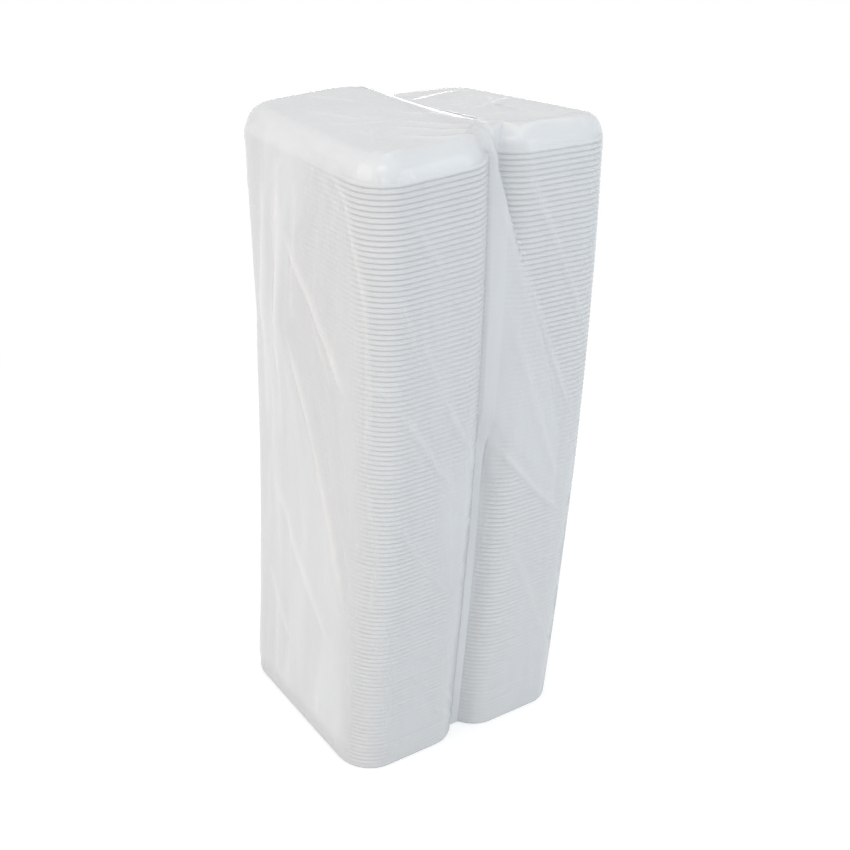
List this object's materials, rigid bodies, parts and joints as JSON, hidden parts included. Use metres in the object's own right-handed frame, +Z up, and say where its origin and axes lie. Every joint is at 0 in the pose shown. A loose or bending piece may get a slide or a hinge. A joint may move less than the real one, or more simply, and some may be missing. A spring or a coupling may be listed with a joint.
{
  "type": "bagged pack of foam trays",
  "caption": "Two side-by-side stacks of nested white foam food trays, base up, held together by one tight, closed bag of milky clear film.",
  "frame": {"origin": "middle of the bag's box, on the plane of its underside", "axes": "+Z up the stacks, +X across the two stacks towards the right one, +Y along the trays towards the back"},
  "size_m": [0.2988, 0.2552, 0.6538],
  "materials": {
    "film": "thin milky clear polythene film, glossy, creased",
    "tray_foam": "white expanded polystyrene foam, satin skin"
  },
  "bodies": {
    "root": {"film_bag": "film", "left_top_tray": "tray_foam", "right_top_tray": "tray_foam", "left_trays_1": "tray_foam", "left_trays_2": "tray_foam", "left_trays_3": "tray_foam", "left_trays_4": "tray_foam", "left_trays_5": "tray_foam", "left_trays_6": "tray_foam", "left_trays_7": "tray_foam", "left_trays_8": "tray_foam", "left_trays_9": "tray_foam", "left_trays_10": "tray_foam", "left_trays_11": "tray_foam", "left_trays_12": "tray_foam", "left_trays_13": "tray_foam", "left_trays_14": "tray_foam", "left_trays_15": "tray_foam", "left_trays_16": "tray_foam", "left_trays_17": "tray_foam", "left_trays_18": "tray_foam", "left_trays_19": "tray_foam", "left_trays_20": "tray_foam", "left_trays_21": "tray_foam", "left_trays_22": "tray_foam", "left_trays_23": "tray_foam", "left_trays_24": "tray_foam", "left_trays_25": "tray_foam", "right_trays_1": "tray_foam", "right_trays_2": "tray_foam", "right_trays_3": "tray_foam", "right_trays_4": "tray_foam", "right_trays_5": "tray_foam", "right_trays_6": "tray_foam", "right_trays_7": "tray_foam", "right_trays_8": "tray_foam", "right_trays_9": "tray_foam", "right_trays_10": "tray_foam", "right_trays_11": "tray_foam", "right_trays_12": "tray_foam", "right_trays_13": "tray_foam", "right_trays_14": "tray_foam", "right_trays_15": "tray_foam", "right_trays_16": "tray_foam", "right_trays_17": "tray_foam", "right_trays_18": "tray_foam", "right_trays_19": "tray_foam", "right_trays_20": "tray_foam", "right_trays_21": "tray_foam", "right_trays_22": "tray_foam", "right_trays_23": "tray_foam", "right_trays_24": "tray_foam", "right_trays_25": "tray_foam"}
  },
  "joints": []
}
